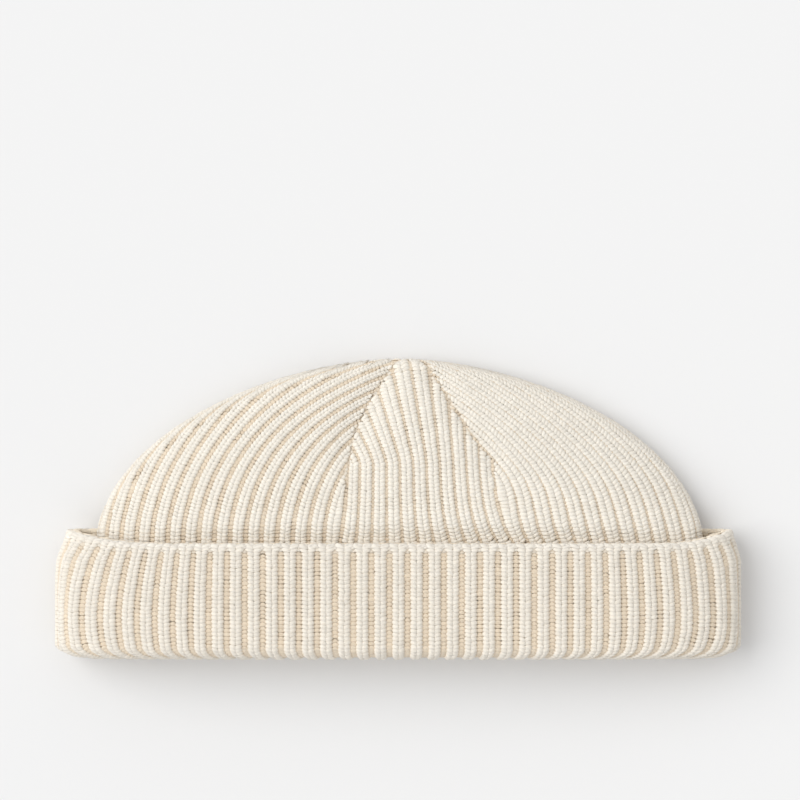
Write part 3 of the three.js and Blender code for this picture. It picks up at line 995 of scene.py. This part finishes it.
# Linear colours, and the depths below the crest over which the colour is painted from cream to tan:
# painted shade of the furrows and gaps, where the cream yarn lies in shade
CREAM_CROWN = (0.87, 0.81, 0.715)
CREAM_CUFF = (0.84, 0.775, 0.68)
CREAM_SLIT_PAINTED_LIGHT = (0.92, 0.80, 0.64)  # painted light: warmer and brighter than the cuff's cream, as deep in the slit all light has gone through wool
TAN = (0.775, 0.655, 0.51)
# The ground fabric is painted tan all over: painted shade of the deep knit that shows between the
# stitches
TAN_GROUND_PAINTED_SHADE = (0.78, 0.66, 0.51)
CREST_SINK, FURROW_SINK = (0.55, 1.5)


def wool_material(name, crest, furrow, sockets, relief, bump):
    """Matt wool of linear colours. sockets are the shader's, relief is the node that gives the
    height of the bumps, and bump holds their values. Gives the colour and height nodes too."""
    material = bpy.data.materials.new(name)
    material.use_nodes = True
    tree = material.node_tree
    tree.nodes.clear()
    shader = node(tree, "ShaderNodeBsdfPrincipled", (300, 0), **sockets)
    out = node(tree, "ShaderNodeOutputMaterial", (600, 0))
    place = node(tree, "ShaderNodeTexCoord", (-900, -200))
    colour = node(tree, "ShaderNodeGroup", (-300, 100), node_tree=WOOL_COLOUR)
    colour.inputs["Crest"].default_value = (*crest, 1)
    colour.inputs["Furrow"].default_value = (*furrow, 1)
    height = node(tree, place=(-300, -300), **relief)
    bumps = node(tree, "ShaderNodeBump", (0, -300), **bump)
    links = tree.links
    links.new(place.outputs["Object"], colour.inputs["Place"])
    links.new(place.outputs["Object"], height.inputs["Vector"])
    links.new(height.outputs[0], bumps.inputs["Height"])
    links.new(bumps.outputs["Normal"], shader.inputs["Normal"])
    links.new(colour.outputs["Color"], shader.inputs["Base Color"])
    links.new(shader.outputs[0], out.inputs["Surface"])
    return material, colour, height


def knit_material(name, crest, furrow):
    """Fuzzy wool for pieces made of stitches, which have the marks sink and tone. sink paints the
    shade: the deeper a point lies, the more tan its colour.
    """
    relief = dict(kind="ShaderNodeGroup", node_tree=YARN_RELIEF)
    bump = dict(Strength=0.7, Distance=0.0002)
    material, colour, height = wool_material(name, crest, furrow, KNIT_SHADER, relief, bump)
    tree = material.node_tree
    yarn = node(tree, "ShaderNodeUVMap", (-900, -400), uv_map="yarn")
    sink = node(tree, "ShaderNodeAttribute", (-900, 200), attribute_name="sink")
    tone = node(tree, "ShaderNodeAttribute", (-900, 0), attribute_name="tone")
    depth = node(tree, "ShaderNodeMapRange", (-650, 200), interpolation_type="SMOOTHSTEP")
    depth.inputs["From Min"].default_value = CREST_SINK
    depth.inputs["From Max"].default_value = FURROW_SINK
    links = tree.links
    links.new(sink.outputs["Fac"], depth.inputs["Value"])
    links.new(depth.outputs[0], colour.inputs["Depth"])
    links.new(tone.outputs["Fac"], colour.inputs["Tone"])
    links.new(yarn.outputs["UV"], height.inputs["Along"])
    return material


def ground_material(name, colour):
    """Plain wool of one colour."""
    relief = dict(kind="ShaderNodeTexNoise", Scale=1400.0, Detail=4.0)
    bump = dict(Strength=0.6, Distance=0.0003)
    return wool_material(name, colour, colour, GROUND_SHADER, relief, bump)[0]


crown_wool = knit_material("crown_wool", CREAM_CROWN, TAN)
cuff_wool = knit_material("cuff_wool", CREAM_CUFF, TAN)
slit_wool_painted_light = knit_material("slit_wool_painted_light", CREAM_SLIT_PAINTED_LIGHT, TAN)
ground_wool_painted_shade = ground_material("ground_wool_painted_shade", TAN_GROUND_PAINTED_SHADE)


# The pieces of the hat

CROWN_FOOT = CUFF_HEIGHT - 0.9  # where the crown's stitches start, behind the cuff's edge
CROWN_TOP = CUFF_HEIGHT + CROWN_HEIGHT - 0.03
LEGS_END = CUFF_TURN + 0.4  # q where the cuff's legs end
PURLS_END = CUFF_TURN - 0.6  # q where its purl stitches end
SLIT_FOOT = CUFF_TURN - 7  # stitches deeper in the slit don't show
EDGE_PAINTED_LIGHT = 3.0  # painted light: the free edge is painted a little lighter, to make up for the shade it lies in
LINING_FOOT = INNER_LEG + 1
LINING_TOP = INNER_LEG + 11  # stitches further in don't show from the mouth


def finish_piece(piece, material, node_name):
    piece.data.materials.append(material)
    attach(piece, "root")
    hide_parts(node_name)


for side, name in ((1, "crown_front"), (-1, "crown_back")):
    made = stitches(name, crown_legs(side, WALL, CROWN_FOOT, CROWN_TOP, 0, 1))
    finish_piece(made, crown_wool, "crown")
    made = purl_stitches(name + "_purl", crown_purls(side, CROWN_FOOT, CROWN_TOP))
    finish_piece(made, crown_wool, "crown")

for side, name in ((1, "cuff_front"), (-1, "cuff_back")):
    made = stitches(name, cuff_legs(side, CUFF_FOOT, LEGS_END), EDGE_PAINTED_LIGHT)
    finish_piece(made, cuff_wool, "cuff")
    made = purl_stitches(name + "_purl", cuff_purls(side, CUFF_FOOT, PURLS_END))
    finish_piece(made, cuff_wool, "cuff")

slit_legs = cuff_legs(1, SLIT_FOOT, LEGS_END, True) + cuff_legs(-1, SLIT_FOOT, LEGS_END, True)
made = stitches("cuff_edge", slit_legs, EDGE_PAINTED_LIGHT, LINING_ACROSS)
finish_piece(made, slit_wool_painted_light, "cuff")

lining = crown_legs(1, 0, LINING_FOOT, LINING_TOP, -1, -1)
lining += crown_legs(-1, 0, LINING_FOOT, LINING_TOP, -1, -1)
made = stitches("crown_lining", lining, leg_across=LINING_ACROSS)
finish_piece(made, crown_wool, "crown")

finish_piece(crown_ground(), ground_wool_painted_shade, "crown")
finish_piece(cuff_ground(), ground_wool_painted_shade, "cuff")


# Table, light and camera

TABLE_SIZE = 8.0  # metres
TABLE_COLOUR = (0.80, 0.80, 0.80)
SKY_STRENGTH = 0.735
WINDOW_STRENGTH = 1.82
WINDOW_ANGLE = 54.0  # degrees: how wide the soft light is
WINDOW_FROM = (-1.0, 0.34, 1.0)
MM_PER_PIXEL = 0.38
PICTURE = 800  # pixels each way
HAT_MIDDLE_PIXEL = 399.5
HEM_PIXEL = 658.0
CAMERA_HEIGHT = 1500.0  # above the plane where the scale is taken
SCALE_PLANE = 12.0

bpy.ops.mesh.primitive_plane_add(size=TABLE_SIZE, location=(0, 0, 0))
table = bpy.context.object
table.name = "table_top"
paint = bpy.data.materials.new("pale_table")
paint.use_nodes = True
paint_shader = paint.node_tree.nodes["Principled BSDF"]
paint_shader.inputs["Base Color"].default_value = (*TABLE_COLOUR, 1)
paint_shader.inputs["Roughness"].default_value = 0.9
paint_shader.inputs["Specular IOR Level"].default_value = 0.1
table.data.materials.append(paint)

world = bpy.data.worlds.new("studio")
bpy.context.scene.world = world
world.use_nodes = True
world.node_tree.nodes["Background"].inputs["Color"].default_value = (1, 1, 1, 1)
world.node_tree.nodes["Background"].inputs["Strength"].default_value = SKY_STRENGTH

lamp = bpy.data.lights.new("window", "SUN")
lamp.energy = WINDOW_STRENGTH
lamp.angle = math.radians(WINDOW_ANGLE)
window = bpy.data.objects.new("window", lamp)
bpy.context.scene.collection.objects.link(window)
window.rotation_euler = (
    math.atan2(math.hypot(WINDOW_FROM[0], WINDOW_FROM[1]), WINDOW_FROM[2]),
    0,
    math.atan2(WINDOW_FROM[0], -WINDOW_FROM[1]),
)

view = bpy.data.cameras.new("camera")
view.sensor_width = 36
view.lens = view.sensor_width * CAMERA_HEIGHT / (PICTURE * MM_PER_PIXEL)
camera = bpy.data.objects.new("camera", view)
camera.location = (
    (PICTURE / 2 - HAT_MIDDLE_PIXEL) * MM_PER_PIXEL * MM,
    ((HEM_PIXEL - PICTURE / 2) * MM_PER_PIXEL - MIDDLE) * MM,
    (CAMERA_HEIGHT + SCALE_PLANE) * MM,
)
view.clip_end = 20
bpy.context.scene.collection.objects.link(camera)
bpy.context.scene.camera = camera
bpy.context.scene.view_settings.view_transform = "Standard"
